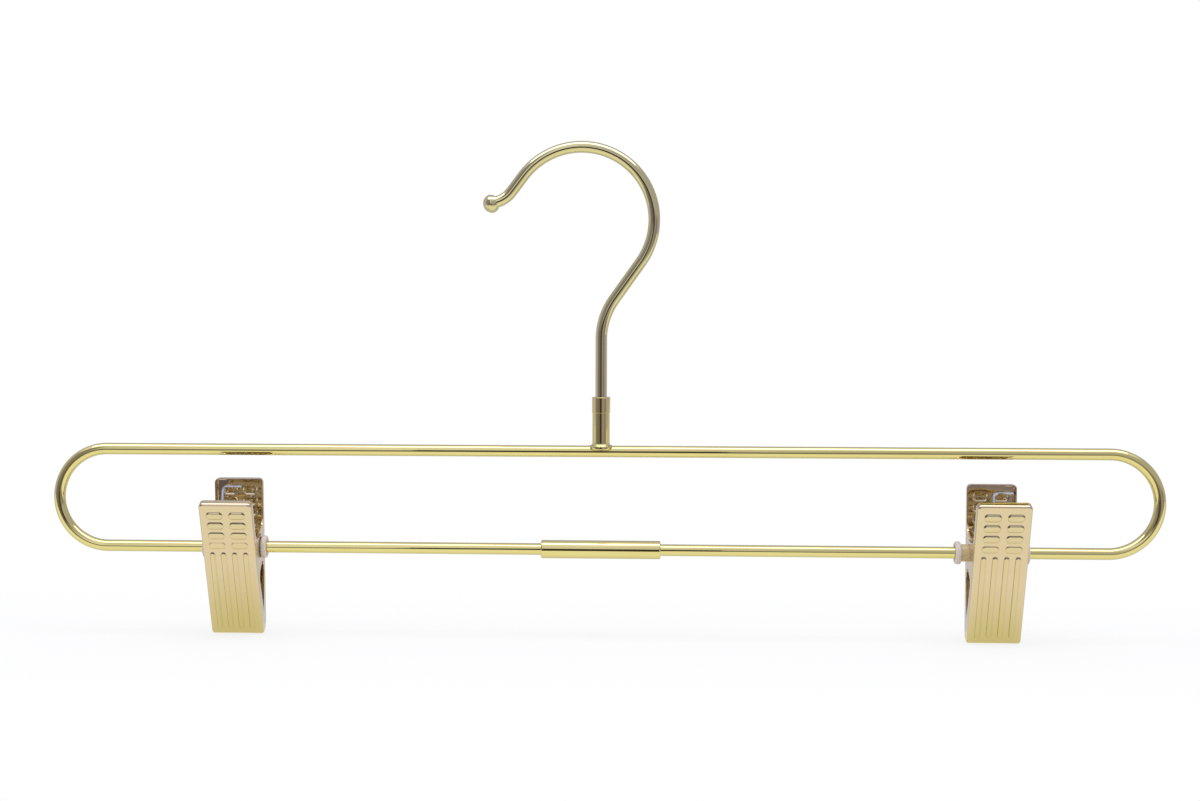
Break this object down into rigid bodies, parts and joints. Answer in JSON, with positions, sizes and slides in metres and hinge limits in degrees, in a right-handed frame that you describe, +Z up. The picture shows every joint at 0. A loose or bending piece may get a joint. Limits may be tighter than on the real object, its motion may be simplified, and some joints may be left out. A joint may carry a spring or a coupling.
{
  "type": "skirt hanger",
  "caption": "Wire skirt hanger with a swivelling ball-tipped hook and sprung two-plate sheet-metal clips that slide and swing on its lower bar.",
  "frame": {"origin": "where the hook's swivel axis meets the inside of the crook, which is where the rod bears", "axes": "+Z up along the swivel axis, +X along the bars to the right as the wider jaws face the viewer, -Y towards the viewer"},
  "size_m": [0.4, 0.0313, 0.1792],
  "materials": {
    "gold_wire": "polished gold-coloured plating on steel wire",
    "gold_sheet": "polished pale gold-coloured plating on stamped steel sheet",
    "spring_steel": "bright drawn spring wire",
    "bush_plastic": "milky translucent plastic"
  },
  "bodies": {
    "hook": {"hook_wire": "gold_wire"},
    "frame": {"frame_wire": "gold_wire", "frame_joint_sleeve": "gold_wire", "hook_ferrule": "gold_wire"},
    "left_bushes": {"left_clip_left_bush": "bush_plastic", "left_clip_right_bush": "bush_plastic"},
    "left_front": {"left_front_jaw": "gold_sheet", "left_spring": "spring_steel"},
    "left_back": {"left_back_jaw": "gold_sheet"},
    "right_bushes": {"right_clip_left_bush": "bush_plastic", "right_clip_right_bush": "bush_plastic"},
    "right_front": {"right_front_jaw": "gold_sheet", "right_spring": "spring_steel"},
    "right_back": {"right_back_jaw": "gold_sheet"}
  },
  "joints": [
    {"name": "hook_swivel", "type": "hinge", "parent": "hook", "child": "frame", "pos_m": [0, 0, -0.08596], "axis": [0, 0, 1], "continuous": true},
    {"name": "left_clip_slide", "type": "slide", "parent": "frame", "child": "left_bushes", "axis": [1, 0, 0], "range_m": [-0.0349, 0.0994]},
    {"name": "left_clip_swing", "type": "hinge", "parent": "left_bushes", "child": "left_front", "pos_m": [-0.1331, 0, -0.14116], "axis": [1, 0, 0], "continuous": true},
    {"name": "left_clip_open", "type": "hinge", "parent": "left_front", "child": "left_back", "pos_m": [-0.1331, 0, -0.14116], "axis": [1, 0, 0], "range_deg": [0, 40], "stiffness_Nm_per_rad": 0.25, "springref_deg": -45.84, "deforming": ["left_spring"]},
    {"name": "right_clip_slide", "type": "slide", "parent": "frame", "child": "right_bushes", "axis": [1, 0, 0], "range_m": [-0.1042, 0.0274]},
    {"name": "right_clip_swing", "type": "hinge", "parent": "right_bushes", "child": "right_front", "pos_m": [0.1406, 0, -0.14116], "axis": [1, 0, 0], "continuous": true},
    {"name": "right_clip_open", "type": "hinge", "parent": "right_front", "child": "right_back", "pos_m": [0.1406, 0, -0.14116], "axis": [1, 0, 0], "range_deg": [0, 40], "stiffness_Nm_per_rad": 0.25, "springref_deg": -45.84, "deforming": ["right_spring"]}
  ]
}
